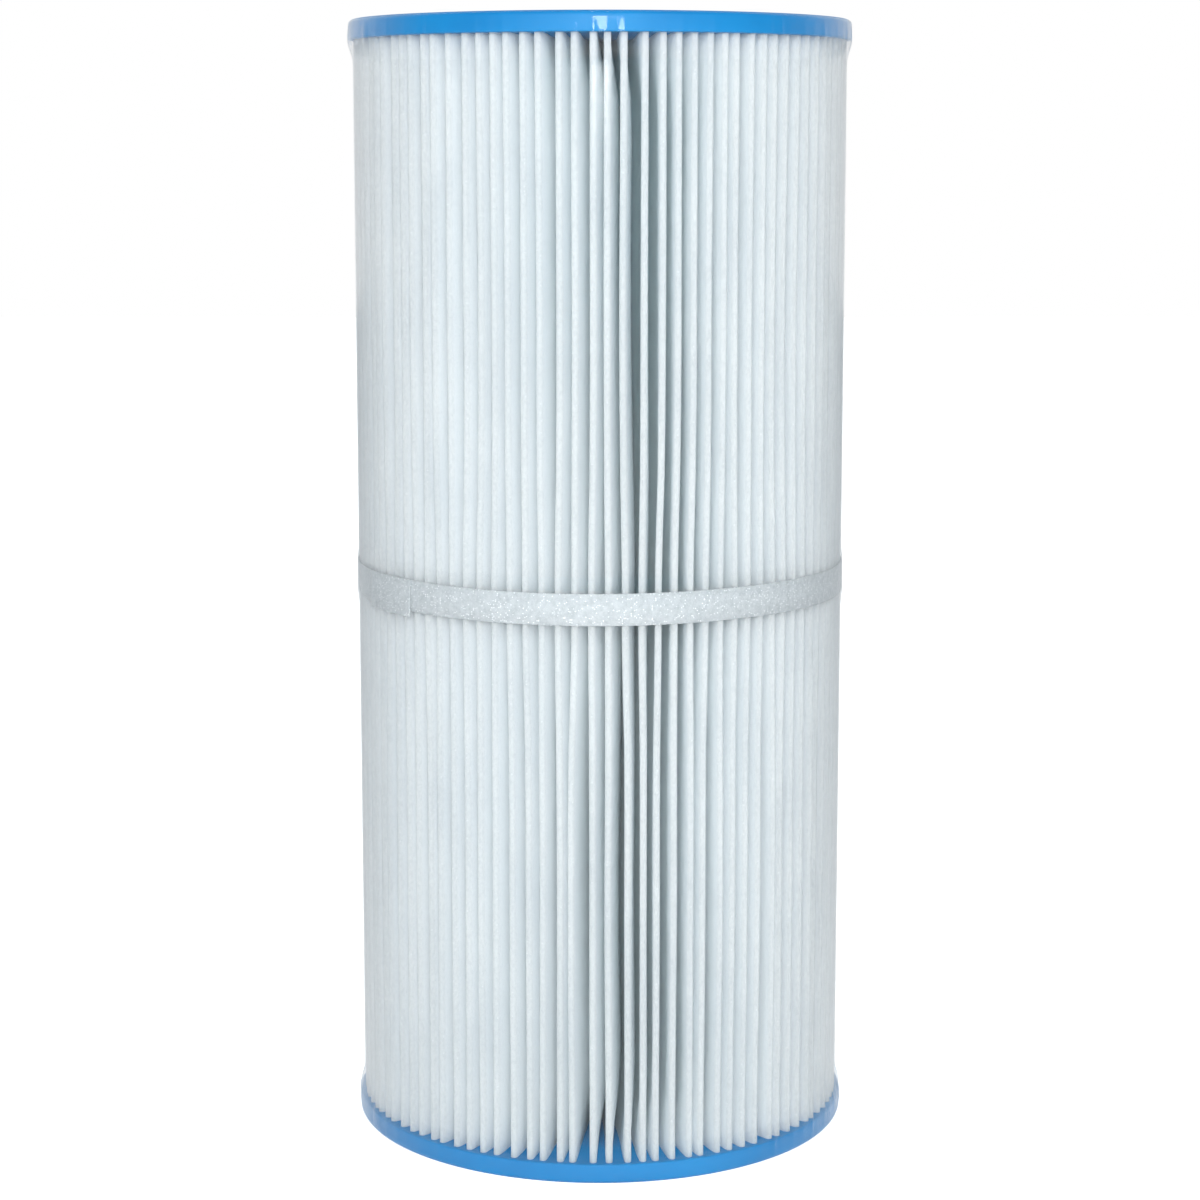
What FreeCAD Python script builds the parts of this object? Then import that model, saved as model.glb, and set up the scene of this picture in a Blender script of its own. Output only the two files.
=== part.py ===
import FreeCAD, Part
import math
import os

import Sketcher

# Pleated filter cartridge for a pool or spa filter, in millimetres.
# +Z is the cartridge's own axis. The origin is the middle of the bottom face.

doc = FreeCAD.newDocument("filter_cartridge")
sheet = doc.addObject("Spreadsheet::Sheet", "sizes")

# alias, value, meaning
SIZES = [
    ("overall_length", 339.7, "bottom face to top face"),
    ("cap_diameter", 152.4, "outside of both end caps"),
    ("cap_height", 6.0, "thickness of each end cap"),
    ("cap_bore", 54.0, "open hole through each end cap"),
    ("cap_edge_round", 1.5, "round on the cap's outer bottom or top edge"),
    ("cap_rim_round", 0.6, "round on the cap's edge beside the pleats"),
    ("bore_edge_round", 1.0, "round at the mouth of the bore"),
    ("cast_in_depth", 4.0, "how deep the pleats and the core stand in each cap"),
    ("core_diameter", 62.0, "outside of the perforated core tube"),
    ("core_inside", 56.0, "inside of the core tube"),
    ("core_hole_diameter", 8.0, "one water hole in the core"),
    ("core_holes_around", 10, "water holes in one row around the core"),
    ("core_row_pairs", 11, "pairs of rows, the second row staggered"),
    ("core_plain_end", 12.0, "cap's inner face to the middle of the first row"),
    ("pleat_count", 96, "pleats around the cartridge"),
    ("pleat_setback", 1.4, "cap's outside to the tips of the pleats"),
    ("media_thickness", 0.45, "filter cloth"),
    ("outer_fold_radius", 0.8, "middle of the cloth at a tip"),
    ("inner_fold_radius", 0.35, "middle of the cloth at a root"),
    ("core_clearance", 0.3, "root of a pleat to the core"),
    ("seam_bead_width", 3.0, "along the pleat's flank"),
    ("seam_bead_thickness", 1.0, "across the pleat's flank"),
    ("band_height", 9.3, "width of the strap around the pleats"),
    ("band_above_middle", 1.2, "middle of the strap above mid length"),
    ("band_thickness", 0.4, "one layer of the strap"),
    ("band_lap", 24.0, "length where the strap's ends lie on each other"),
    ("band_lap_bearing", 213.0, "degrees from +X to the middle of that length"),
    ("glue_height", 5.0, "width of the glue under the strap"),
    ("glue_cover", 0.15, "glue between a tip and the strap"),
    ("glue_depth", 0.7, "how far the glue runs in between the tips"),
    ("film_thickness", 0.15, "clear shrink film"),
    ("film_clearance", 0.1, "film to the pleats and the strap"),
    ("film_pinch", 7.0, "length where the film runs in from a cap to the pleats"),
    ("film_bridge", 5.0, "length where the film runs out over the strap"),
]

for row, (alias, value, meaning) in enumerate(SIZES, start=1):
    sheet.set(f"A{row}", alias)
    sheet.set(f"B{row}", str(value))
    sheet.set(f"C{row}", meaning)
    sheet.setAlias(f"B{row}", alias)
doc.recompute()


def size(alias):
    """A size from the sheet as a plain number."""
    return float(sheet.get(alias))


def bind(obj, **formulas):
    """Bind properties to the sheet; a double underscore stands for a dot."""
    for name, formula in formulas.items():
        obj.setExpression(name.replace("__", "."), formula)


# Heights and radii that several pieces share, as formulas over the sheet.
LENGTH = "sizes.overall_length"
CAP_RADIUS = "sizes.cap_diameter / 2"
TIP_RADIUS = "(sizes.cap_diameter / 2 - sizes.pleat_setback)"
CAST_IN_START = "(sizes.cap_height - sizes.cast_in_depth)"
CAST_IN_LENGTH = f"({LENGTH} - 2 * {CAST_IN_START})"
BAND_MIDDLE = f"({LENGTH} / 2 + sizes.band_above_middle)"
BAND_BOTTOM = f"({BAND_MIDDLE} - sizes.band_height / 2)"
BAND_TOP = f"({BAND_MIDDLE} + sizes.band_height / 2)"
BAND_INSIDE = f"({TIP_RADIUS} + sizes.glue_cover)"
BAND_OUTSIDE = f"({BAND_INSIDE} + sizes.band_thickness)"
LAP_OUTSIDE = f"({BAND_OUTSIDE} + sizes.band_thickness)"


def origin_feature(body, role):
    """One of the body's own origin planes or axes."""
    for feature in body.Origin.OriginFeatures:
        if feature.Role == role:
            return feature
    raise ValueError(f"{body.Label} has no {role}")


def new_body(name):
    body = doc.addObject("PartDesign::Body", name)
    body.Label = name
    return body


def new_sketch(body, name, role):
    """A sketch on one of the body's own origin planes."""
    sketch = body.newObject("Sketcher::SketchObject", name)
    sketch.AttachmentSupport = (origin_feature(body, role), [""])
    sketch.MapMode = "FlatFace"
    return sketch


def add_ring(sketch, outside, inside):
    """Two circles about the axis, their diameters bound to the named sizes."""
    middle = FreeCAD.Vector(0, 0, 0)
    up = FreeCAD.Vector(0, 0, 1)
    for index, alias in enumerate((outside, inside)):
        sketch.addGeometry(Part.Circle(middle, up, size(alias) / 2))
        sketch.addConstraint(Sketcher.Constraint("Coincident", index, 3, -1, 1))
        number = sketch.addConstraint(Sketcher.Constraint("Diameter", index, size(alias)))
        sketch.renameConstraint(number, alias)
        sketch.setExpression(f"Constraints.{alias}", f"sizes.{alias}")


def cylinder(name, radius, height, bottom):
    """A Part::Cylinder on the cartridge's axis."""
    piece = doc.addObject("Part::Cylinder", name)
    bind(piece, Radius=radius, Height=height, Placement__Base__z=bottom)
    return piece


def cone(name, low_radius, high_radius, height, bottom):
    """A Part::Cone on the cartridge's axis."""
    piece = doc.addObject("Part::Cone", name)
    bind(piece, Radius1=low_radius, Radius2=high_radius, Height=height)
    bind(piece, Placement__Base__z=bottom)
    return piece


def cut(name, base, tool):
    piece = doc.addObject("Part::Cut", name)
    piece.Base = base
    piece.Tool = tool
    piece.Label = name
    return piece


def fuse(name, pieces):
    piece = doc.addObject("Part::MultiFuse", name)
    piece.Shapes = pieces
    piece.Label = name
    return piece


# ---------------------------------------------------------------- core tube

def core_tube():
    """A plain tube with staggered rows of round water holes."""
    body = new_body("core_tube")
    ring = new_sketch(body, "core_ring", "XY_Plane")
    bind(ring, AttachmentOffset__Base__z=CAST_IN_START)
    add_ring(ring, "core_diameter", "core_inside")
    tube = body.newObject("PartDesign::Pad", "core_pad")
    tube.Profile = ring
    bind(tube, Length=CAST_IN_LENGTH)
    body.Tip = tube
    doc.recompute()

    row_span = f"({LENGTH} - 2 * (sizes.cap_height + sizes.core_plain_end))"
    row_pitch = f"({row_span} / (2 * sizes.core_row_pairs - 1))"
    first_row = "(sizes.cap_height + sizes.core_plain_end)"
    turns = {"straight": "0", "staggered": "180 / sizes.core_holes_around"}
    upright = FreeCAD.Vector(0, 1, 0)
    axis = FreeCAD.Vector(0, 0, 1)
    for rank, (name, turn) in enumerate(turns.items()):
        solid = body.Shape.Volume
        row = new_sketch(body, f"{name}_hole", "XZ_Plane")
        row.AttachmentOffset = FreeCAD.Placement(FreeCAD.Vector(), FreeCAD.Rotation(upright, 1))
        bind(row, AttachmentOffset__Rotation__Angle=turn)
        diameter = size("core_hole_diameter")
        row.addGeometry(Part.Circle(FreeCAD.Vector(0, diameter, 0), axis, diameter / 2))
        row.addConstraint(Sketcher.Constraint("PointOnObject", 0, 3, -2))
        number = row.addConstraint(Sketcher.Constraint("Diameter", 0, diameter))
        row.renameConstraint(number, "hole")
        number = row.addConstraint(Sketcher.Constraint("DistanceY", -1, 1, 0, 3, diameter))
        row.renameConstraint(number, "level")
        bind(row, Constraints__hole="sizes.core_hole_diameter")
        bind(row, Constraints__level=f"{first_row} + {rank} * {row_pitch}")
        through = body.newObject("PartDesign::Pocket", f"{name}_pocket")
        through.Profile = row
        through.Midplane = True
        bind(through, Length="2 * sizes.core_diameter")
        doc.recompute()
        rows = body.newObject("PartDesign::MultiTransform", f"{name}_rows")
        around = body.newObject("PartDesign::PolarPattern", f"{name}_around")
        around.Axis = (origin_feature(body, "Z_Axis"), [""])
        bind(around, Angle="180 - 360 / sizes.core_holes_around")
        bind(around, Occurrences="sizes.core_holes_around / 2")
        along = body.newObject("PartDesign::LinearPattern", f"{name}_along")
        along.Direction = (origin_feature(body, "Z_Axis"), [""])
        bind(along, Length=f"2 * {row_pitch} * (sizes.core_row_pairs - 1)")
        bind(along, Occurrences="sizes.core_row_pairs")
        rows.Originals = [through]
        rows.Transformations = [around, along]
        rows.Refine = False
        body.Tip = rows
        doc.recompute()
        if body.Shape.Volume >= solid:
            raise ValueError(f"{name} holes cut nothing")
    return body


def core_seat():
    """The core without its holes, as the groove that the caps are cast around."""
    outside = cylinder("seat_outside", "sizes.core_diameter / 2", CAST_IN_LENGTH, CAST_IN_START)
    inside = cylinder("seat_inside", "sizes.core_inside / 2", CAST_IN_LENGTH, CAST_IN_START)
    return cut("core_seat", outside, inside)


# ------------------------------------------------------------ pleated cloth

def turned(vector, angle):
    """The vector turned about Z by the angle in radians."""
    cosine = math.cos(angle)
    sine = math.sin(angle)
    return FreeCAD.Vector(
        vector.x * cosine - vector.y * sine, vector.x * sine + vector.y * cosine, 0
    )


class Pleats:
    """The fold centres and flanks of the pleated ring, seen along Z. A root faces each axis."""

    def __init__(self):
        self.count = int(size("pleat_count"))
        self.step = 2 * math.pi / self.count
        self.tip_bend = size("outer_fold_radius")
        self.root_bend = size("inner_fold_radius")
        half_cloth = size("media_thickness") / 2
        tip = size("cap_diameter") / 2 - size("pleat_setback")
        root = size("core_diameter") / 2 + size("core_clearance")
        self.tip_ring = tip - half_cloth - self.tip_bend
        self.root_ring = root + half_cloth + self.root_bend

    def tip_centre(self, number):
        return turned(FreeCAD.Vector(self.tip_ring, 0, 0), (number + 0.5) * self.step)

    def root_centre(self, number):
        return turned(FreeCAD.Vector(self.root_ring, 0, 0), (number + 1) * self.step)

    def flank(self, start, end, side):
        """Direction of the line that crosses between two fold circles."""
        between = end - start
        lean = math.asin((self.tip_bend + self.root_bend) / between.Length)
        return turned(between.normalize(), side * lean)

    def flank_crossing(self, number):
        """Where the flank after a tip crosses the line of centres, and its direction."""
        start = self.tip_centre(number)
        end = self.root_centre(number)
        share = self.tip_bend / (self.tip_bend + self.root_bend)
        return start + (end - start) * share, self.flank(start, end, 1)

    def face_wire(self, inward):
        """One face of the cloth: the middle line moved towards the axis by inward."""
        tip_radius = self.tip_bend - inward
        root_radius = self.root_bend + inward
        edges = []
        for number in range(self.count):
            tip = self.tip_centre(number)
            root = self.root_centre(number)
            next_tip = self.tip_centre(number + 1)
            left_in = turned(self.flank(tip, root, 1), math.pi / 2)
            left_out = turned(self.flank(root, next_tip, -1), math.pi / 2)
            top = tip - left_in * tip_radius
            foot = root + left_in * root_radius
            foot_away = root + left_out * root_radius
            next_top = next_tip - left_out * tip_radius
            root_middle = root * ((root.Length - root_radius) / root.Length)
            tip_middle = next_tip * ((next_tip.Length + tip_radius) / next_tip.Length)
            next_left = turned(self.flank(next_tip, self.root_centre(number + 1), 1), math.pi / 2)
            edges.append(Part.LineSegment(top, foot).toShape())
            edges.append(Part.Arc(foot, root_middle, foot_away).toShape())
            edges.append(Part.LineSegment(foot_away, next_top).toShape())
            edges.append(Part.Arc(next_top, tip_middle, next_tip - next_left * tip_radius).toShape())
        return Part.Wire(edges)


def pleated_ring(pleats):
    """The cloth as one closed ring of pleats, before its ends are joined."""
    half_cloth = size("media_thickness") / 2
    outside = pleats.face_wire(-half_cloth)
    inside = pleats.face_wire(half_cloth)
    section = Part.makeFace([outside, inside], "Part::FaceMakerBullseye")
    buried = size("cap_height") - size("cast_in_depth")
    height = size("overall_length") - 2 * buried
    ring = doc.addObject("Part::Feature", "pleated_ring")
    ring.Shape = section.extrude(FreeCAD.Vector(0, 0, height))
    ring.Placement = FreeCAD.Placement(FreeCAD.Vector(0, 0, buried), FreeCAD.Rotation())
    return ring


def pleat_outline(pleats):
    """Everything inside the cloth's outer face, as tall as the strap's glue."""
    outside = pleats.face_wire(-size("media_thickness") / 2)
    height = size("glue_height")
    middle = size("overall_length") / 2 + size("band_above_middle")
    outline = doc.addObject("Part::Feature", "pleat_outline")
    outline.Shape = Part.Face(outside).extrude(FreeCAD.Vector(0, 0, height))
    level = FreeCAD.Vector(0, 0, middle - height / 2)
    outline.Placement = FreeCAD.Placement(level, FreeCAD.Rotation())
    return outline


def seam_bead(pleats):
    """The glue that joins the two ends of the cloth, on a flank at the back."""
    bead = doc.addObject("Part::Box", "media_seam_bead")
    bead.Label = "media_seam_bead"
    bind(bead, Length="sizes.seam_bead_width", Width="sizes.seam_bead_thickness")
    bind(bead, Height=CAST_IN_LENGTH)
    place, along = pleats.flank_crossing(round(pleats.count / 4))
    corner = FreeCAD.Vector(-size("seam_bead_width") / 2, -size("seam_bead_thickness") / 2, 0)
    angle = math.atan2(along.y, along.x)
    place.z = size("cap_height") - size("cast_in_depth")
    turn = FreeCAD.Rotation(FreeCAD.Vector(0, 0, 1), math.degrees(angle))
    bead.Placement = FreeCAD.Placement(place + turned(corner, angle), turn)
    return bead


# ----------------------------------------------------------------- end caps

def round_edges(body, base, name, rounds):
    """Fillets on the circles of a turned body, given as radius, level and fillet size."""
    for rank, (radius, level, fillet) in enumerate(rounds):
        doc.recompute()
        edges = []
        for number, edge in enumerate(base.Shape.Edges, start=1):
            if not isinstance(edge.Curve, Part.Circle):
                continue
            near_radius = abs(edge.Curve.Radius - radius) < 1e-4
            near_level = abs(edge.Curve.Center.z - level) < 1e-4
            if near_radius and near_level:
                edges.append(f"Edge{number}")
        if not edges:
            raise ValueError(f"{name} has no circle of radius {radius} at {level}")
        rounded = body.newObject("PartDesign::Fillet", f"{name}_round_{rank}")
        rounded.Base = (base, edges)
        bind(rounded, Radius=f"sizes.{fillet}")
        base = rounded
    body.Tip = base


def end_cap(name, low_level, faces_up, cast_in):
    """A cast disc with a bore; faces_up says that its free face is the upper one."""
    body = new_body(f"{name}_casting")
    disc = new_sketch(body, f"{name}_ring", "XY_Plane")
    bind(disc, AttachmentOffset__Base__z=low_level)
    add_ring(disc, "cap_diameter", "cap_bore")
    slab = body.newObject("PartDesign::Pad", f"{name}_pad")
    slab.Profile = disc
    bind(slab, Length="sizes.cap_height")
    doc.recompute()

    low_face = slab.Shape.BoundBox.ZMin
    high_face = slab.Shape.BoundBox.ZMax
    free_face, pleat_face = (high_face, low_face) if faces_up else (low_face, high_face)
    cap_radius = size("cap_diameter") / 2
    round_edges(body, slab, name, [
        (cap_radius, free_face, "cap_edge_round"),
        (cap_radius, pleat_face, "cap_rim_round"),
        (size("cap_bore") / 2, free_face, "bore_edge_round"),
    ])

    cap = body
    for number, piece in enumerate(cast_in, start=1):
        last = number == len(cast_in)
        cap = cut(name if last else f"{name}_cut_{number}", cap, piece)
    return cap


# ------------------------------------------------------- strap and its glue

def pleat_band():
    """The strap that holds the pleats apart, its ends lapped at front left."""
    outside = cylinder("band_outside", BAND_OUTSIDE, "sizes.band_height", BAND_BOTTOM)
    inside = cylinder("band_inside", BAND_INSIDE, "sizes.band_height", BAND_BOTTOM)
    loop = cut("band_loop", outside, inside)
    lap_outside = cylinder("lap_outside", LAP_OUTSIDE, "sizes.band_height", BAND_BOTTOM)
    lap_angle = f"(sizes.band_lap / {BAND_OUTSIDE} * 180 / pi)"
    bind(lap_outside, Angle=lap_angle)
    lap_outside.Placement.Rotation = FreeCAD.Rotation(FreeCAD.Vector(0, 0, 1), 1)
    bind(lap_outside, Placement__Rotation__Angle=f"sizes.band_lap_bearing - {lap_angle} / 2")
    lap_inside = cylinder("lap_inside", BAND_OUTSIDE, "sizes.band_height", BAND_BOTTOM)
    lap = cut("band_lap_layer", lap_outside, lap_inside)
    return fuse("pleat_band", [loop, lap])


def band_glue(outline):
    """The bead of glue between the strap and the tips, filling in between them."""
    bottom = f"({BAND_MIDDLE} - sizes.glue_height / 2)"
    inner_radius = f"({TIP_RADIUS} - sizes.glue_depth)"
    outside = cylinder("glue_outside", BAND_INSIDE, "sizes.glue_height", bottom)
    inside = cylinder("glue_inside", inner_radius, "sizes.glue_height", bottom)
    return cut("band_glue_bead", cut("glue_loop", outside, inside), outline)


# -------------------------------------------------------------- shrink film

def film_form(name, grow):
    """The film's form as a stack of cylinders and cones; grow widens it everywhere."""
    cap = f"({CAP_RADIUS} + {grow})"
    pleats = f"({TIP_RADIUS} + sizes.film_clearance + {grow})"
    band = f"({LAP_OUTSIDE} + sizes.film_clearance + {grow})"
    start = "sizes.cap_edge_round"
    wall = "(sizes.cap_height - sizes.cap_edge_round)"
    lower_run = f"({BAND_BOTTOM} - sizes.film_bridge - sizes.cap_height - sizes.film_pinch)"
    upper_start = f"({BAND_TOP} + sizes.film_bridge)"
    upper_cone = f"({LENGTH} - sizes.cap_height - sizes.film_pinch)"
    top_wall = f"({LENGTH} - sizes.cap_height)"
    return fuse(name, [
        cylinder(f"{name}_1", cap, wall, start),
        cone(f"{name}_2", cap, pleats, "sizes.film_pinch", "sizes.cap_height"),
        cylinder(f"{name}_3", pleats, lower_run, "(sizes.cap_height + sizes.film_pinch)"),
        cone(f"{name}_4", pleats, band, "sizes.film_bridge", f"({BAND_BOTTOM} - sizes.film_bridge)"),
        cylinder(f"{name}_5", band, "sizes.band_height", BAND_BOTTOM),
        cone(f"{name}_6", band, pleats, "sizes.film_bridge", BAND_TOP),
        cylinder(f"{name}_7", pleats, f"({upper_cone} - {upper_start})", upper_start),
        cone(f"{name}_8", pleats, cap, "sizes.film_pinch", upper_cone),
        cylinder(f"{name}_9", cap, wall, top_wall),
    ])


def shrink_sleeve():
    """Clear film shrunk over the caps and the pleats, open at both flat faces."""
    outside = film_form("film_outside", "sizes.film_thickness")
    inside = film_form("film_inside", "0")
    return cut("shrink_sleeve", outside, inside)


# ----------------------------------------------------------------- assembly

core = core_tube()
pleats = Pleats()
ring = pleated_ring(pleats)
bead = seam_bead(pleats)
cast_in = [core_seat(), bead, ring]
sub_parts = [
    core,
    bead,
    cut("pleated_media", ring, bead),
    end_cap("bottom_end_cap", "0", False, cast_in),
    end_cap("top_end_cap", f"{LENGTH} - sizes.cap_height", True, cast_in),
    pleat_band(),
    band_glue(pleat_outline(pleats)),
    shrink_sleeve(),
]
doc.recompute()

for obj in doc.Objects:
    if "Invalid" in obj.State or "Error" in obj.State:
        raise ValueError(f"{obj.Label} failed: {obj.State}")
for obj in sub_parts:
    if obj.Shape.isNull() or not obj.Shape.isValid():
        raise ValueError(f"{obj.Label} has no valid shape")

os.makedirs("parts", exist_ok=True)
for obj in sub_parts:
    obj.Shape.exportStep(f"parts/{obj.Label}.step")
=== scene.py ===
import math
import random

import bmesh
import bpy
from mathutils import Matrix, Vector


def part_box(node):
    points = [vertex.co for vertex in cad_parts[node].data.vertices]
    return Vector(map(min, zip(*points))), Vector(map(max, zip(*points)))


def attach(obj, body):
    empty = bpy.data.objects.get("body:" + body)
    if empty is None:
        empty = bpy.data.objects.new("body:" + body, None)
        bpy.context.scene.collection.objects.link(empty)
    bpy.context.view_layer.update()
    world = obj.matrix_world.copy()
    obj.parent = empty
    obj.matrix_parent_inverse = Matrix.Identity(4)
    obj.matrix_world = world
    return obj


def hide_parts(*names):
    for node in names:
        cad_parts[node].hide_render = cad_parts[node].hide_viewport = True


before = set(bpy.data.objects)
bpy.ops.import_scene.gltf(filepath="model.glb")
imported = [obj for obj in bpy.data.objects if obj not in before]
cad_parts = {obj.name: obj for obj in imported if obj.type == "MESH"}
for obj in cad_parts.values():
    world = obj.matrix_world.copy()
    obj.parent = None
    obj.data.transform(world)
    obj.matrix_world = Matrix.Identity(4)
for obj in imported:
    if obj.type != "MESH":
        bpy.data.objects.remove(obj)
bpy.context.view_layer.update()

# ------------------------------------------------------- sizes from the frame

MM = 0.001
cap_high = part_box("bottom_end_cap")[1]
top_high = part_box("top_end_cap")[1]
cloth_low, cloth_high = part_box("pleated_media")
core_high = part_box("core_tube")[1]
band_low, band_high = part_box("pleat_band")

LENGTH = top_high.z
CAP_RADIUS = cap_high.x
CAP_HEIGHT = cap_high.z
BORE_RADIUS = 27.0 * MM
CORE_RADIUS = core_high.x
TIP_RADIUS = cloth_high.x
BAND_BOTTOM = band_low.z
BAND_TOP = band_high.z
BAND_MIDDLE = (BAND_BOTTOM + BAND_TOP) / 2

PLEATS = 96
STEP = 2 * math.pi / PLEATS
FIRST_TIP = STEP / 2
CLOTH = 0.45 * MM
TIP_BEND = 0.8 * MM
ROOT_BEND = 0.35 * MM
CORE_CLEARANCE = 0.3 * MM
BAND_LAYER = 0.4 * MM
SEAM_PLEAT = PLEATS // 4

# At 3.0 mm some flanks cross; 2.2 mm with SWAY_ROUND 0.5 crosses nowhere.
PLEAT_BOW = 3.0 * MM          # sideways bow of a pleat's middle, shared with its neighbours
SWAY_ROUND = 0.3              # share by which that bow changes round the cartridge
SWAY_ALONG = 0.2              # and along it
BOW_END_ZONE = 30 * MM        # the bow dies out over this length at each cap
SEAM_STRAIGHT = 2 * STEP      # pleats this near the seam don't bow
SEAM_FREE = 8 * STEP          # and those beyond this bow fully
OWN_BOW = 0.17 * MM           # bow of a flank by itself
END_SPREAD = 0.20 * STEP      # how unevenly the tips stand at the caps
GROUP_DRIFT = 0.14 * STEP     # sideways drift of tips together
OWN_DRIFT = 0.06 * STEP       # and of one tip by itself
ROOT_FOLLOWS = 0.25           # share of the tips' wander that the roots take
TIP_DIP = 0.25 * MM           # how far a tip may stand back from the outline

LAP_MIDDLE = math.radians(213)
LAP_LENGTH = 24 * MM
FILM_SEAM = math.radians(206)

rng = random.Random(7)


# ------------------------------------------------------------- mesh building

def add_piece(name, points, faces, smooth=True):
    """A mesh object from points and faces, in the row frame."""
    mesh = bpy.data.meshes.new(name)
    mesh.from_pydata(points, [], faces)
    mesh.validate()
    for face in mesh.polygons:
        face.use_smooth = smooth
    mesh.update()
    piece = bpy.data.objects.new(name, mesh)
    bpy.context.scene.collection.objects.link(piece)
    return piece


def lattice(name, rings, close_rings=True):
    """A surface over equal closed rings of points; close_rings joins the last ring to the first."""
    width = len(rings[0])
    points = [point for ring in rings for point in ring]
    faces = []
    last = len(rings) if close_rings else len(rings) - 1
    for row in range(last):
        here = row * width
        there = ((row + 1) % len(rings)) * width
        for column in range(width):
            beside = (column + 1) % width
            faces.append((here + column, here + beside, there + beside, there + column))
    return add_piece(name, points, faces)


def turned_form(name, profile, segments, radius_at=None):
    """A closed profile of (radius, height) turned about Z, with an optional radius change."""
    rings = []
    for radius, height in profile:
        ring = []
        for number in range(segments):
            angle = 2 * math.pi * number / segments
            grown = radius_at(radius, height, angle) if radius_at else (radius, height)
            ring.append((grown[0] * math.cos(angle), grown[0] * math.sin(angle), grown[1]))
        rings.append(ring)
    return lattice(name, rings)


def smooth_step(low, high, value):
    share = min(1.0, max(0.0, (value - low) / (high - low)))
    return share * share * (3 - 2 * share)


def waves(count, strength, source):
    """A smooth random function of one turn: a few sines of random phase."""
    terms = [
        (number + 1, source.uniform(0, 2 * math.pi), source.uniform(0.4, 1.0))
        for number in range(count)
    ]
    total = sum(term[2] for term in terms)
    return lambda angle: strength / total * sum(
        size * math.sin(times * angle + phase) for times, phase, size in terms
    )


# --------------------------------------------------------------- pleat layout

class PleatLayout:
    """Where every tip and root stands at every height, with the wander of real pleats."""

    def __init__(self):
        self.tip_ring = TIP_RADIUS - CLOTH / 2 - TIP_BEND
        self.root_ring = CORE_RADIUS + CORE_CLEARANCE + CLOTH / 2 + ROOT_BEND
        self.low = [rng.uniform(-END_SPREAD, END_SPREAD) for _ in range(PLEATS)]
        self.high = [rng.uniform(-END_SPREAD, END_SPREAD) for _ in range(PLEATS)]
        self.lean_low = waves(5, GROUP_DRIFT, rng)
        self.lean_high = waves(5, GROUP_DRIFT, rng)
        self.belly = [
            (rng.uniform(-1, 1), rng.uniform(-1, 1), rng.uniform(0, 2 * math.pi))
            for _ in range(PLEATS)
        ]
        self.bow = [(rng.uniform(-1, 1), rng.uniform(0, 2 * math.pi)) for _ in range(2 * PLEATS)]
        self.sway = waves(4, SWAY_ROUND, rng)
        self.sway_along = waves(2, SWAY_ALONG, rng)
        self.dip = [rng.uniform(0, 1) for _ in range(PLEATS)]

    def wander(self, number, height):
        """Turn of a tip away from its even place."""
        number %= PLEATS
        if number in (SEAM_PLEAT, SEAM_PLEAT + 1):
            return 0.0
        if height < BAND_MIDDLE:
            share = (height - cloth_low.z) / (BAND_BOTTOM - cloth_low.z)
            end = self.low[number]
            sign = self.belly[number][0]
            lean = self.lean_low(number * STEP)
        else:
            share = (cloth_high.z - height) / (cloth_high.z - BAND_TOP)
            end = self.high[number]
            sign = self.belly[number][1]
            lean = self.lean_high(number * STEP)
        share = min(1.0, max(0.0, share))
        held = smooth_step(0.7, 1, share)
        free = math.sin(math.pi * share) ** 2
        ripple = 0.15 * math.sin(3 * math.pi * share + self.belly[number][2])
        return end * (1 - held) + free * (lean + OWN_DRIFT * (sign + ripple))

    def tip_angle(self, number, height):
        return FIRST_TIP + number * STEP + self.wander(number, height)

    def root_angle(self, number, height):
        near = 0.5 * (self.wander(number, height) + self.wander(number + 1, height))
        return FIRST_TIP + (number + 0.5) * STEP + ROOT_FOLLOWS * near

    def lean(self, number, height):
        """How far the middle of a pleat bows round the cartridge: all one way, and none at the seam."""
        angle = FIRST_TIP + (number + 0.5) * STEP
        from_seam = abs(math.remainder(angle - FIRST_TIP - (SEAM_PLEAT + 0.5) * STEP, 2 * math.pi))
        from_end = min(height - cloth_low.z, cloth_high.z - height)
        free = smooth_step(0, BOW_END_ZONE, from_end) * smooth_step(SEAM_STRAIGHT, SEAM_FREE, from_seam)
        sway = self.sway(angle) + self.sway_along(2 * math.pi * height / LENGTH)
        return PLEAT_BOW * free * (1 + sway)

    def tip_depth(self, number, height):
        """How far a tip stands back from the common outline."""
        number %= PLEATS
        share = (height - cloth_low.z) / (cloth_high.z - cloth_low.z)
        free = math.sin(math.pi * min(1.0, max(0.0, share)))
        return TIP_DIP * self.dip[number] * free


def on_circle(radius, angle, height):
    return Vector((radius * math.cos(angle), radius * math.sin(angle), height))


def turned(vector, angle):
    cosine = math.cos(angle)
    sine = math.sin(angle)
    return Vector((vector.x * cosine - vector.y * sine, vector.x * sine + vector.y * cosine, 0))


def flank_direction(start, end, side):
    between = end - start
    lean = math.asin((TIP_BEND + ROOT_BEND) / between.length)
    return turned(between.normalized(), side * lean)


ARC_STEPS = 5
ROOT_STEPS = 3
FLANK_POINTS = 3


def arc_points(centre, start, sweep, steps):
    """Points round a fold from the start arm, both ends included."""
    return [centre + turned(start, sweep * number / steps) for number in range(steps + 1)]


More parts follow.
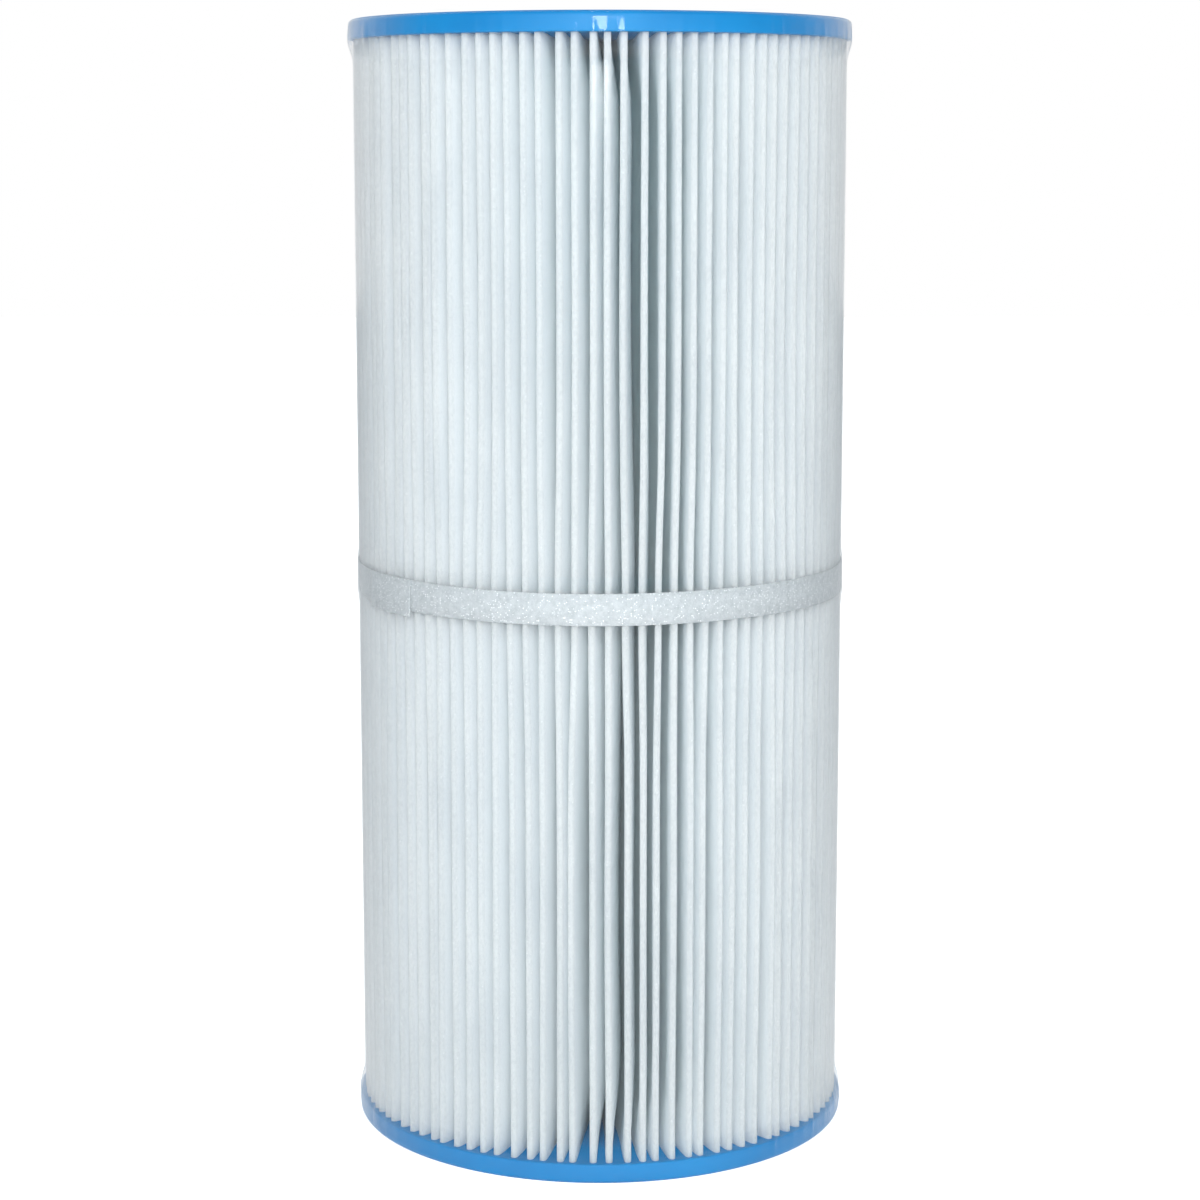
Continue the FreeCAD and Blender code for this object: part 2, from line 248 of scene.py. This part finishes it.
def cloth_ring(layout, height, inward):
    """One face of the cloth at one height, moved towards the axis by inward."""
    tip_radius = TIP_BEND - inward
    root_radius = ROOT_BEND + inward
    tips = []
    roots = []
    for number in range(PLEATS):
        ring = layout.tip_ring - layout.tip_depth(number, height)
        tips.append(on_circle(ring, layout.tip_angle(number, height), 0))
        roots.append(on_circle(layout.root_ring, layout.root_angle(number, height), 0))
    free = math.sin(math.pi * (height - cloth_low.z) / (cloth_high.z - cloth_low.z))
    points = []
    for number in range(PLEATS):
        tip = tips[number]
        root = roots[number]
        root_before = roots[number - 1]
        next_tip = tips[(number + 1) % PLEATS]
        left_out = turned(flank_direction(root_before, tip, -1), math.pi / 2)
        left_in = turned(flank_direction(tip, root, 1), math.pi / 2)
        left_next = turned(flank_direction(root, next_tip, -1), math.pi / 2)
        start = left_out * -tip_radius
        sweep = math.atan2(left_out.cross(left_in).z, left_out.dot(left_in)) % (2 * math.pi)
        points += arc_points(tip, start, sweep, ARC_STEPS)
        top = tip - left_in * tip_radius
        foot = root + left_in * root_radius
        lean = layout.lean(number, height)
        points += flank_points(top, foot, left_in, layout.bow[2 * number], height, free, -lean)
        sweep = -(math.atan2(left_next.cross(left_in).z, left_next.dot(left_in)) % (2 * math.pi))
        points += arc_points(root, left_in * root_radius, sweep, ROOT_STEPS)
        start = root + left_next * root_radius
        end = next_tip - left_next * tip_radius
        points += flank_points(start, end, left_next, layout.bow[2 * number + 1], height, free, lean)
    return [(point.x, point.y, height) for point in points]


def flank_points(start, end, across, bow, height, free, lean):
    """Points inside a flank, which bows sideways with its neighbours and a little by itself."""
    strength, phase = bow
    wave = strength + 0.4 * math.sin(9 * math.pi * height / LENGTH + phase)
    swell = OWN_BOW * free * wave + lean
    points = []
    for number in range(1, FLANK_POINTS + 1):
        share = number / (FLANK_POINTS + 1)
        points.append(start.lerp(end, share) + across * (swell * math.sin(math.pi * share)))
    return points


def cloth_levels():
    """Heights of the rings of points: close together at the caps and the strap."""
    bottom = cloth_low.z
    lower = [0, 4, 6, 9, 14, 22, 34, 50, 68, 88, 108, 128, 144, 156]
    middle = [BAND_BOTTOM, BAND_TOP]
    low = [bottom + level * MM for level in lower]
    return low + middle + [cloth_high.z - level * MM for level in reversed(lower)]


def pleated_cloth(layout):
    levels = cloth_levels()
    outer = [cloth_ring(layout, level, -CLOTH / 2) for level in levels]
    inner = [cloth_ring(layout, level, CLOTH / 2) for level in reversed(levels)]
    piece = lattice("pleated_cloth", outer + inner)
    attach(piece, "root")
    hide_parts("pleated_media")
    middle = cloth_ring(layout, BAND_MIDDLE, 0)
    return piece


# ------------------------------------------------------------------ end caps

def quarter(centre_radius, centre_height, radius, start, steps=6):
    """Points of a quarter round in (radius, height), from the start angle, clockwise."""
    points = []
    for number in range(steps + 1):
        angle = start - math.pi / 2 * number / steps
        points.append((
            centre_radius + radius * math.cos(angle),
            centre_height + radius * math.sin(angle),
        ))
    return points


def end_cap(name, node, up):
    """A cast cap whose resin creeps up between the pleats; up turns it over for the top."""
    edge = 1.5 * MM
    rim = 0.6 * MM
    mouth = 1.0 * MM
    creep = 1.6 * MM
    ripple = waves(40, 0.25 * MM, rng)
    profile = [(CAP_RADIUS - 2.5 * MM, 0.0), (50 * MM, 0.0), (BORE_RADIUS + mouth + MM, 0.0)]
    profile += quarter(BORE_RADIUS + mouth, mouth, mouth, -math.pi / 2)
    profile += [(BORE_RADIUS, 3 * MM), (BORE_RADIUS, CAP_HEIGHT - 0.2 * MM)]
    profile += [(BORE_RADIUS + 0.2 * MM, CAP_HEIGHT), (CORE_RADIUS, CAP_HEIGHT)]
    floor_points = 16
    rim_start = CAP_RADIUS - rim
    for number in range(1, floor_points):
        profile.append((CORE_RADIUS + (rim_start - CORE_RADIUS) * number / floor_points, CAP_HEIGHT))
    profile += quarter(CAP_RADIUS - rim, CAP_HEIGHT - rim, rim, math.pi / 2)
    profile += [(CAP_RADIUS, CAP_HEIGHT / 2)]
    profile += quarter(CAP_RADIUS - edge, edge, edge, 0.0, steps=8)

    def shaped(radius, height, angle):
        if height < CAP_HEIGHT - 1e-6 or not CORE_RADIUS < radius < rim_start - 1e-6:
            return radius, height
        inner = 1 - smooth_step(TIP_RADIUS - 18 * MM, TIP_RADIUS - 3 * MM, radius)
        return radius, height + creep * inner * (1 + ripple(angle) / MM)

    segments = PLEATS * 4
    piece = turned_form(name, profile, segments, shaped)
    if up:
        for vertex in piece.data.vertices:
            vertex.co.z = LENGTH - vertex.co.z
        piece.data.flip_normals()
    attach(piece, "root")
    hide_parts(node)
    return piece


# --------------------------------------------------------------------- strap

def pleat_band():
    """The spunbond strap: one spiral turn and a lap, sunk a little between the tips."""
    lap_angle = LAP_LENGTH / TIP_RADIUS
    start = LAP_MIDDLE - lap_angle / 2
    sweep = 2 * math.pi + lap_angle
    steps = PLEATS * 8
    edge_soft = 0.10 * MM
    lap_drop = 1.6 * MM
    inside = TIP_RADIUS + 0.02 * MM
    drift = waves(4, 0.25 * MM, rng)
    rings = []
    for number in range(steps + 1):
        share = number / steps
        angle = start + sweep * share
        lifted = smooth_step(2 * math.pi - 0.05, 2 * math.pi + 0.02, angle - start)
        sag = 0.10 * MM * abs(math.sin((angle - FIRST_TIP) * PLEATS / 2))
        radius = inside + lifted * (BAND_LAYER + 0.06 * MM) - sag * (1 - lifted)
        fray = 0.06 * MM * math.sin(angle * 311) + 0.05 * MM * math.sin(angle * 187 + 1)
        low = BAND_BOTTOM + drift(angle) + fray - lap_drop * lifted
        high = BAND_TOP + drift(angle) - fray + 0.2 * MM * lifted
        section = []
        for radial, level in (
            (0, low + edge_soft), (edge_soft, low), (BAND_LAYER - edge_soft, low),
            (BAND_LAYER, low + edge_soft), (BAND_LAYER, (low + high) / 2), (BAND_LAYER, high - edge_soft),
            (BAND_LAYER - edge_soft, high), (edge_soft, high), (0, high - edge_soft), (0, (low + high) / 2),
        ):
            grown = radius + radial
            section.append((grown * math.cos(angle), grown * math.sin(angle), level))
        rings.append(section)
    piece = lattice("spunbond_strap", rings, close_rings=False)
    width = len(rings[0])
    close_ends(piece, [list(range(width)), list(range(steps * width, (steps + 1) * width))])
    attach(piece, "root")
    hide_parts("pleat_band")
    return piece


def close_ends(piece, loops):
    """Adds one face over each end loop and makes all normals agree."""
    work = bmesh.new()
    work.from_mesh(piece.data)
    work.verts.ensure_lookup_table()
    for loop in loops:
        work.faces.new([work.verts[index] for index in loop])
    bmesh.ops.recalc_face_normals(work, faces=work.faces)
    work.to_mesh(piece.data)
    work.free()


# ---------------------------------------------------------------------- film

FILM = 0.06 * MM
OVER_CAP = 0.03 * MM
OVER_TIPS = 0.10 * MM
OVER_STRAP = 0.12 * MM
VALLEY_SINK = 0.05 * MM
CAP_RIDGE = 0.34 * MM
LAP_BULGE = 0.42 * MM
SEAM_FIN = 0.40 * MM
FILM_SHARES = (0.0, 0.14, 0.5, 0.86)


def film_outline(height):
    """The film's radius at a height before it follows the pleats, and how much of it is on a cap."""
    pinch = 7 * MM
    bridge = 5 * MM
    cap = CAP_RADIUS + OVER_CAP
    pleats = TIP_RADIUS + OVER_TIPS
    strap = TIP_RADIUS + BAND_LAYER + OVER_STRAP
    from_end = min(height, LENGTH - height)
    if from_end < CAP_HEIGHT:
        return cap, 1.0
    run_in = smooth_step(CAP_HEIGHT, CAP_HEIGHT + pinch, from_end)
    reach = abs(height - BAND_MIDDLE) - (BAND_TOP - BAND_BOTTOM) / 2
    over = 1 - smooth_step(0, bridge, reach)
    base = cap + (pleats - cap) * run_in
    return base + (strap - pleats) * over, 1 - run_in


def film_ring(layout, height, grow, ridges, wrinkle):
    """One face of the film at one height, moved outwards by grow."""
    edge = 1.5 * MM
    outline, on_cap = film_outline(height)
    from_end = min(height, LENGTH - height)
    rounding = edge - math.sqrt(max(0.0, edge * edge - max(0.0, edge - from_end) ** 2))
    from_strap = abs(height - BAND_MIDDLE) - (BAND_TOP - BAND_BOTTOM) / 2
    strap_near = 1 - smooth_step(0, 6 * MM, from_strap)
    ring = []
    for number in range(PLEATS):
        here = layout.tip_angle(number, height)
        there = layout.tip_angle(number + 1, height)
        half = (there - here) / 2
        for share in FILM_SHARES:
            angle = here + (there - here) * share
            chord = math.cos(half) / math.cos(angle - here - half)
            flat = outline * chord - VALLEY_SINK * math.sin(math.pi * share)
            radius = flat + (outline - flat) * max(on_cap, strap_near)
            ridge = ridges[number] * max(0.0, 1 - abs(share - (share > 0.5)) / 0.2)
            radius += ridge * on_cap * CAP_RIDGE * smooth_step(0.5 * MM, 5 * MM, from_end)
            radius += wrinkle(angle, height) * (1 - 0.6 * on_cap)
            turn = math.remainder(angle - LAP_MIDDLE, 2 * math.pi)
            lap = 1 - smooth_step(0.13, 0.32, abs(turn))
            radius += strap_near * lap * LAP_BULGE
            fin = math.exp(-(math.remainder(angle - FILM_SEAM, 2 * math.pi) / 0.012) ** 2)
            radius += fin * SEAM_FIN * smooth_step(1 * MM, 4 * MM, from_end)
            radius += grow - rounding
            ring.append((radius * math.cos(angle), radius * math.sin(angle), height))
    return ring


def film_levels():
    """Heights of the film's rings: close together at the caps and beside the strap."""
    low = [
        0.35, 0.7, 1.2, 2, 3.5, 5, 6, 7, 8.5, 10, 12, 14, 18, 24, 32, 42, 54, 68,
        84, 100, 116, 130, 142, 152,
    ]
    strap = [-5, -3.5, -2, -0.6, 0.3]
    bottom = [level * MM for level in low] + [BAND_BOTTOM + level * MM for level in strap]
    top = [LENGTH - level * MM for level in reversed(low)]
    return bottom + [BAND_MIDDLE] + [BAND_TOP - level * MM for level in reversed(strap)] + top


def shrink_film(layout):
    """The clear film: thin, closed, drawn tight from tip to tip."""
    ridges = [rng.uniform(0.1, 1.0) ** 2 for _ in range(PLEATS)]
    around = waves(9, 0.035 * MM, rng)
    along = waves(14, 0.035 * MM, rng)

    def wrinkle(angle, height):
        return around(angle + 3 * height) + along(2 * math.pi * height / LENGTH + 2 * angle)

    levels = film_levels()
    outer = [film_ring(layout, level, FILM, ridges, wrinkle) for level in levels]
    inner = [film_ring(layout, level, 0.0, ridges, wrinkle) for level in reversed(levels)]
    piece = lattice("clear_film", outer + inner)
    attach(piece, "root")
    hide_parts("shrink_sleeve")
    return piece


# ------------------------------------------------------------------ materials

class Shader:
    """A material's node tree with short calls for its nodes."""

    def __init__(self, name):
        self.material = bpy.data.materials.new(name)
        self.material.use_nodes = True
        self.tree = self.material.node_tree
        self.tree.nodes.clear()
        self.output = self.add("ShaderNodeOutputMaterial")

    def add(self, kind, **settings):
        node = self.tree.nodes.new(kind)
        for key, value in settings.items():
            setattr(node, key, value)
        return node

    def link(self, start, end):
        self.tree.links.new(start, end)

    def place(self):
        return self.add("ShaderNodeTexCoord").outputs["Object"]

    def stretched(self, scale):
        mapping = self.add("ShaderNodeMapping")
        mapping.inputs["Scale"].default_value = scale
        self.link(self.place(), mapping.inputs["Vector"])
        return mapping.outputs["Vector"]

    def noise(self, vector, scale, detail=2.0, roughness=0.5):
        node = self.add("ShaderNodeTexNoise")
        node.inputs["Scale"].default_value = scale
        node.inputs["Detail"].default_value = detail
        node.inputs["Roughness"].default_value = roughness
        self.link(vector, node.inputs["Vector"])
        return node.outputs["Fac"]

    def math(self, operation, first, second):
        node = self.add("ShaderNodeMath", operation=operation)
        for socket, value in zip(node.inputs, (first, second)):
            if isinstance(value, (int, float)):
                socket.default_value = value
            else:
                self.link(value, socket)
        return node.outputs[0]

    def ramp(self, factor, stops):
        node = self.add("ShaderNodeValToRGB")
        while len(node.color_ramp.elements) < len(stops):
            node.color_ramp.elements.new(0.5)
        for element, (position, colour) in zip(node.color_ramp.elements, stops):
            element.position = position
            element.color = (*colour, 1)
        self.link(factor, node.inputs["Fac"])
        return node.outputs["Color"]

    def mix(self, factor, first, second, blend="MIX"):
        node = self.add("ShaderNodeMix", data_type="RGBA", blend_type=blend)
        sockets = [node.inputs[0], node.inputs[6], node.inputs[7]]
        for socket, value in zip(sockets, (factor, first, second)):
            if isinstance(value, (int, float)):
                socket.default_value = value
            elif isinstance(value, tuple):
                socket.default_value = (*value, 1)
            else:
                self.link(value, socket)
        return node.outputs[2]

    def bump(self, height, strength, distance, normal=None):
        node = self.add("ShaderNodeBump")
        node.inputs["Strength"].default_value = strength
        node.inputs["Distance"].default_value = distance
        self.link(height, node.inputs["Height"])
        if normal is not None:
            self.link(normal, node.inputs["Normal"])
        return node.outputs["Normal"]

    def radius(self):
        """Distance from the cartridge's axis."""
        flat = self.add("ShaderNodeVectorMath", operation="MULTIPLY")
        flat.inputs[1].default_value = (1, 1, 0)
        self.link(self.place(), flat.inputs[0])
        length = self.add("ShaderNodeVectorMath", operation="LENGTH")
        self.link(flat.outputs[0], length.inputs[0])
        return length.outputs["Value"]

    def span(self, value, low, high):
        """The value's place from low to high, as 0 to 1."""
        node = self.add("ShaderNodeMapRange")
        node.inputs["From Min"].default_value = low
        node.inputs["From Max"].default_value = high
        self.link(value, node.inputs["Value"])
        return node.outputs["Result"]

    def principled(self, **values):
        node = self.add("ShaderNodeBsdfPrincipled")
        for name, value in values.items():
            socket = node.inputs[name.replace("_", " ")]
            if isinstance(value, (int, float)):
                socket.default_value = value
            elif isinstance(value, tuple):
                socket.default_value = (*value, 1)
            else:
                self.link(value, socket)
        return node

    def finish(self, surface):
        self.link(surface, self.output.inputs["Surface"])
        return self.material


def fibre_cells(shader, scale):
    """Voronoi cells as small as the bond points of spunbond polyester."""
    cells = shader.add("ShaderNodeTexVoronoi", feature="F1")
    cells.inputs["Scale"].default_value = scale
    shader.link(shader.place(), cells.inputs["Vector"])
    return cells


def cloth_material():
    """White polyester; light partly passes through it. Its colour by depth is painted light: lighter and
    bluer towards the core as a painted blue glow from the core and painted scattered light deep in the
    folds, greyer at the tips where most light falls.
    """
    translucent_share = 0.72
    shader = Shader("pleated_polyester")
    depth = shader.span(shader.radius(), CORE_RADIUS, TIP_RADIUS)
    # Painted light: lighter and bluer towards the core (painted glow of the blue core and of light
    # scattered in the deep folds), greyer at the tips where most light falls.
    base = shader.ramp(depth, [
        (0.0, (0.88, 0.982, 0.998)),
        (0.60, (0.95, 0.991, 0.999)),
        (0.965, (0.985, 0.994, 0.998)),
        (0.985, (0.91, 0.915, 0.91)),
    ])
    cloudy = shader.noise(shader.stretched((1, 1, 0.35)), 90, 3.0, 0.6)
    outside = shader.span(depth, 0.90, 0.98)
    marked = shader.math("ADD", shader.math("MULTIPLY", outside, 0.85), 0.15)
    patches = shader.ramp(cloudy, [(0.3, (0.965, 0.97, 0.975)), (0.6, (1, 1, 1))])
    base = shader.mix(marked, base, patches, "MULTIPLY")
    fibres = shader.noise(shader.stretched((1, 1, 0.5)), 1500, 2.0, 0.7)
    threads = shader.ramp(fibres, [(0.35, (0.93, 0.935, 0.94)), (0.6, (1, 1, 1))])
    base = shader.mix(marked, base, threads, "MULTIPLY")
    cells = fibre_cells(shader, 900)
    bright = shader.math("LESS_THAN", cells.outputs["Distance"], 0.22)
    chosen = shader.add("ShaderNodeSeparateColor")
    shader.link(cells.outputs["Color"], chosen.inputs["Color"])
    some = shader.math("GREATER_THAN", chosen.outputs["Red"], 0.86)
    sparkle = shader.math("MULTIPLY", bright, some)
    # Sparkle dots: their lower roughness and metal are real shine of the bond points; the white mixed into
    # the base colour is a painted glint.
    base = shader.mix(shader.math("MULTIPLY", sparkle, 0.8), base, (1.0, 1.0, 1.0))
    rough = shader.ramp(sparkle, [(0.0, (0.75, 0.75, 0.75)), (1.0, (0.30, 0.30, 0.30))])
    metallic = shader.math("MULTIPLY", sparkle, 0.5)
    normal = shader.bump(fibres, 0.45, 0.0004)
    surface = shader.principled(Base_Color=base, Metallic=metallic, Roughness=rough, Normal=normal)
    surface.inputs["Specular IOR Level"].default_value = 0.35
    through = shader.add("ShaderNodeBsdfTranslucent")
    shader.link(base, through.inputs["Color"])
    both = shader.add("ShaderNodeMixShader")
    both.inputs[0].default_value = translucent_share
    shader.link(surface.outputs[0], both.inputs[1])
    shader.link(through.outputs[0], both.inputs[2])
    return shader.finish(both.outputs[0])


def strap_material():
    shader = Shader("spunbond_strap")
    base = shader.ramp(shader.noise(shader.stretched((1, 1, 1)), 700, 4.0, 0.7), [
        (0.3, (0.36, 0.385, 0.395)), (0.6, (0.50, 0.52, 0.53)),
    ])
    cells = fibre_cells(shader, 2000)
    chosen = shader.add("ShaderNodeSeparateColor")
    shader.link(cells.outputs["Color"], chosen.inputs["Color"])
    some = shader.math("GREATER_THAN", chosen.outputs["Red"], 0.80)
    bright = shader.math("LESS_THAN", cells.outputs["Distance"], 0.35)
    sparkle = shader.math("MULTIPLY", bright, some)
    # Sparkle dots: their lower roughness and metal are real shine; the white mixed into the base colour is
    # a painted glint.
    base = shader.mix(shader.math("MULTIPLY", sparkle, 0.9), base, (1.0, 1.0, 1.0))
    rough = shader.ramp(sparkle, [(0.0, (0.6, 0.6, 0.6)), (1.0, (0.35, 0.35, 0.35))])
    metallic = shader.math("MULTIPLY", sparkle, 0.4)
    normal = shader.bump(cells.outputs["Distance"], 0.4, 0.0003)
    surface = shader.principled(Base_Color=base, Metallic=metallic, Roughness=rough, Normal=normal)
    return shader.finish(surface.outputs[0])


def resin_material():
    shader = Shader("cap_resin")
    cloudy = shader.noise(shader.stretched((1, 1, 2)), 35, 3.0, 0.5)
    base = shader.ramp(cloudy, [(0.3, (0.002, 0.175, 0.430)), (0.7, (0.003, 0.215, 0.500))])
    fine = shader.noise(shader.stretched((1, 1, 1)), 900, 2.0, 0.5)
    normal = shader.bump(fine, 0.05, 0.0003)
    surface = shader.principled(Base_Color=base, Roughness=0.36, Normal=normal)
    surface.inputs["Specular IOR Level"].default_value = 0.3
    return shader.finish(surface.outputs[0])


def core_material():
    shader = Shader("core_plastic")
    cloudy = shader.noise(shader.stretched((1, 1, 0.2)), 60, 2.0, 0.5)
    base = shader.ramp(cloudy, [(0.3, (0.030, 0.22, 0.46)), (0.7, (0.04, 0.27, 0.54))])
    fine = shader.noise(shader.stretched((1, 1, 0.3)), 600, 2.0, 0.5)
    surface = shader.principled(Base_Color=base, Roughness=0.42, Normal=shader.bump(fine, 0.1, 0.0002))
    return shader.finish(surface.outputs[0])


def glue_material():
    shader = Shader("hot_melt_glue")
    cloudy = shader.noise(shader.place(), 200, 2.0, 0.5)
    base = shader.ramp(cloudy, [(0.3, (0.72, 0.74, 0.72)), (0.7, (0.82, 0.84, 0.82))])
    surface = shader.principled(Base_Color=base, Roughness=0.35, Normal=shader.bump(cloudy, 0.2, 0.0005))
    return shader.finish(surface.outputs[0])


def film_material():
    shader = Shader("clear_film")
    creases = shader.noise(shader.stretched((1, 1, 0.25)), 160, 3.0, 0.6)
    fine = shader.noise(shader.place(), 1400, 2.0, 0.6)
    normal = shader.bump(creases, 0.25, 0.0004, shader.bump(fine, 0.12, 0.0002))
    gloss = shader.principled(Base_Color=(0.93, 0.95, 0.96), Metallic=1.0, Roughness=0.06, Normal=normal)
    clear = shader.add("ShaderNodeBsdfTransparent")
    facing = shader.add("ShaderNodeLayerWeight")
    shader.link(normal, facing.inputs["Normal"])
    steep = shader.math("POWER", facing.outputs["Facing"], 4.0)
    share = shader.math("ADD", shader.math("MULTIPLY", steep, 0.5), 0.02)
    blend = shader.add("ShaderNodeMixShader")
    shader.link(share, blend.inputs[0])
    shader.link(clear.outputs[0], blend.inputs[1])
    shader.link(gloss.outputs[0], blend.inputs[2])
    return shader.finish(blend.outputs[0])


def wear(piece, material):
    piece.data.materials.clear()
    piece.data.materials.append(material)


def wear_node(node, material):
    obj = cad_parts[node]
    for material_slot in obj.material_slots:
        material_slot.material = material


# --------------------------------------------------------------------- studio

def studio_floor():
    """A pale floor that glows, most for the camera, so that it looks as white as the air behind."""
    size = 4.0
    points = [(-size, -size, 0), (size, -size, 0), (size, size, 0), (-size, size, 0)]
    floor = add_piece("floor", points, [(0, 1, 2, 3)])
    shader = Shader("pale_floor")
    grain = shader.noise(shader.place(), 40, 2.0, 0.5)
    base = shader.ramp(grain, [(0.3, (0.90, 0.90, 0.90)), (0.7, (0.92, 0.92, 0.92))])
    surface = shader.principled(Base_Color=base, Roughness=0.9)
    surface.inputs["Specular IOR Level"].default_value = 0.0
    surface.inputs["Emission Color"].default_value = (1, 1, 1, 1)
    path = shader.add("ShaderNodeLightPath")
    glow = shader.math("ADD", shader.math("MULTIPLY", path.outputs["Is Camera Ray"], 0.75), 0.15)
    shader.link(glow, surface.inputs["Emission Strength"])
    wear(floor, shader.finish(surface.outputs[0]))


def area_light(name, place, aim, width, height, watts, mirrored=True):
    """A soft box; mirrored says whether glossy surfaces show it."""
    light = bpy.data.lights.new(name, "AREA")
    light.shape = "RECTANGLE"
    light.size = width
    light.size_y = height
    light.energy = watts
    lamp = bpy.data.objects.new(name, light)
    bpy.context.scene.collection.objects.link(lamp)
    lamp.location = place
    lamp.rotation_mode = "QUATERNION"
    lamp.rotation_quaternion = (Vector(aim) - Vector(place)).to_track_quat("-Z", "Y")
    lamp.visible_glossy = mirrored


def studio_world():
    """White for the camera. For all else cool light from the front, white from behind, less between."""
    world = bpy.data.worlds.new("studio")
    bpy.context.scene.world = world
    world.use_nodes = True
    tree = world.node_tree
    tree.nodes.clear()
    output = tree.nodes.new("ShaderNodeOutputWorld")
    seen = tree.nodes.new("ShaderNodeBackground")
    seen.inputs["Color"].default_value = (1, 1, 1, 1)
    seen.inputs["Strength"].default_value = 1.0
    place = tree.nodes.new("ShaderNodeTexCoord")
    direction = tree.nodes.new("ShaderNodeSeparateXYZ")
    tree.links.new(place.outputs["Generated"], direction.inputs[0])
    depth = tree.nodes.new("ShaderNodeMapRange")
    depth.inputs["From Min"].default_value = -1.0
    tree.links.new(direction.outputs["Y"], depth.inputs["Value"])
    colours = tree.nodes.new("ShaderNodeValToRGB")
    stops = [
        (0.0, (0.62, 0.86, 1.0)), (0.22, (0.20, 0.24, 0.27)),
        (0.45, (0.13, 0.14, 0.15)), (0.80, (0.68, 0.69, 0.70)),
    ]
    while len(colours.color_ramp.elements) < len(stops):
        colours.color_ramp.elements.new(0.5)
    for element, (position, colour) in zip(colours.color_ramp.elements, stops):
        element.position = position
        element.color = (*colour, 1)
    tree.links.new(depth.outputs["Result"], colours.inputs["Fac"])
    around = tree.nodes.new("ShaderNodeBackground")
    around.inputs["Strength"].default_value = 1.3
    tree.links.new(colours.outputs["Color"], around.inputs["Color"])
    path = tree.nodes.new("ShaderNodeLightPath")
    mix = tree.nodes.new("ShaderNodeMixShader")
    tree.links.new(path.outputs["Is Camera Ray"], mix.inputs[0])
    tree.links.new(around.outputs[0], mix.inputs[1])
    tree.links.new(seen.outputs[0], mix.inputs[2])
    tree.links.new(mix.outputs[0], output.inputs["Surface"])


def light_paths():
    """Light that finds its way through deep white folds is scattered many times."""
    scatterings = 14
    paths = bpy.context.scene.cycles
    paths.max_bounces = scatterings
    paths.diffuse_bounces = scatterings
    paths.transmission_bounces = scatterings


def camera():
    """The camera stands in front, a little below the top cap, tilted down."""
    distance = 865 * MM
    height = 303.6 * MM
    tilt = math.radians(8.10)
    data = bpy.data.cameras.new("camera")
    data.sensor_width = 36
    data.lens = 84.1
    data.shift_y = -0.05
    data.clip_start = 0.01
    seat = bpy.data.objects.new("camera", data)
    bpy.context.scene.collection.objects.link(seat)
    seat.location = (0, -distance, height)
    seat.rotation_euler = (math.pi / 2 - tilt, 0, 0)
    bpy.context.scene.camera = seat


# ------------------------------------------------------------------- assembly

layout = PleatLayout()
cloth = cloth_material()
resin = resin_material()
wear(pleated_cloth(layout), cloth)
wear(end_cap("bottom_cap", "bottom_end_cap", False), resin)
wear(end_cap("top_cap", "top_end_cap", True), resin)
wear(pleat_band(), strap_material())
wear(shrink_film(layout), film_material())
glue = glue_material()
wear_node("core_tube", core_material())
wear_node("media_seam_bead", glue)
wear_node("band_glue_bead", glue)

studio_floor()
studio_world()
light_paths()
camera()
middle = (0, 0, 0.17)
area_light("front_key", (0, -0.98, 0.43), (0, 0, 0.30), 0.14, 0.20, 0.9)
area_light("front_strip", (0, -1.1, 0.75), middle, 0.10, 1.0, 9.8, mirrored=False)
area_light("front_fill", (0, -2.2, 0.5), middle, 1.8, 0.9, 11.8, mirrored=False)
bpy.context.scene.view_settings.view_transform = "Standard"
